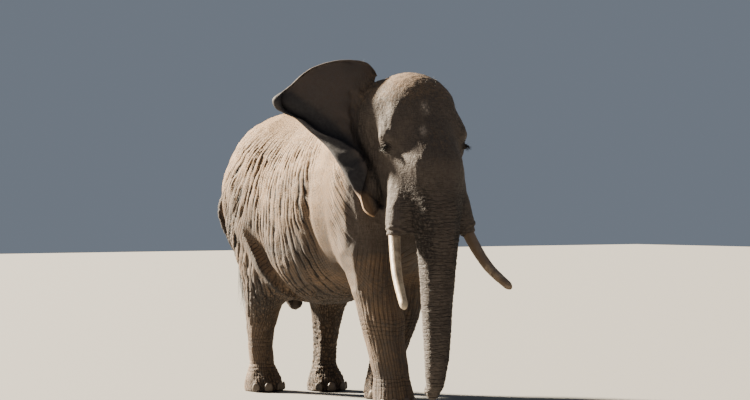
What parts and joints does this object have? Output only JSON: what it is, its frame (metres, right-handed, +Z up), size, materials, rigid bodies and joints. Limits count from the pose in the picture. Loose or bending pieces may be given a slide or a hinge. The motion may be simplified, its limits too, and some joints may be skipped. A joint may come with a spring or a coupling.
{
  "type": "African savanna elephant",
  "caption": "Life-size African savanna elephant bull walking, head turned to its right, right ear half spread and folded, trunk hanging straight down between two tusks.",
  "frame": {"origin": "on the floor, under the middle of the whole animal's bounding box", "axes": "+Z up; the animal walks toward -Y; +X is its left side"},
  "size_m": [2.0648, 4.4914, 3.4844],
  "materials": {
    "skin": "matte, deeply wrinkled grey-brown hide",
    "ear_skin": "matte, thin finely creased hide",
    "ivory": "worn satin ivory, stained toward the lip",
    "eye": "wet, dark brown",
    "nail": "dull, worn horn",
    "hair": "coarse black bristles"
  },
  "bodies": {
    "root": {"ear_left": "ear_skin", "ear_right": "ear_skin", "eye_left": "eye", "eye_right": "eye", "head": "skin", "leg_fore_left": "skin", "leg_fore_right": "skin", "leg_hind_left": "skin", "leg_hind_right": "skin", "lower_jaw": "skin", "nail_fore_left_1": "nail", "nail_fore_left_2": "nail", "nail_fore_left_3": "nail", "nail_fore_left_4": "nail", "nail_fore_left_5": "nail", "nail_fore_right_1": "nail", "nail_fore_right_2": "nail", "nail_fore_right_3": "nail", "nail_fore_right_4": "nail", "nail_fore_right_5": "nail", "nail_hind_left_1": "nail", "nail_hind_left_2": "nail", "nail_hind_left_3": "nail", "nail_hind_left_4": "nail", "nail_hind_right_1": "nail", "nail_hind_right_2": "nail", "nail_hind_right_3": "nail", "nail_hind_right_4": "nail", "neck": "skin", "sheath": "skin", "tail": "skin", "tail_tuft": "hair", "torso": "skin", "trunk_lower": "skin", "trunk_middle": "skin", "trunk_upper": "skin", "tusk_left": "ivory", "tusk_right": "ivory"}
  },
  "joints": []
}
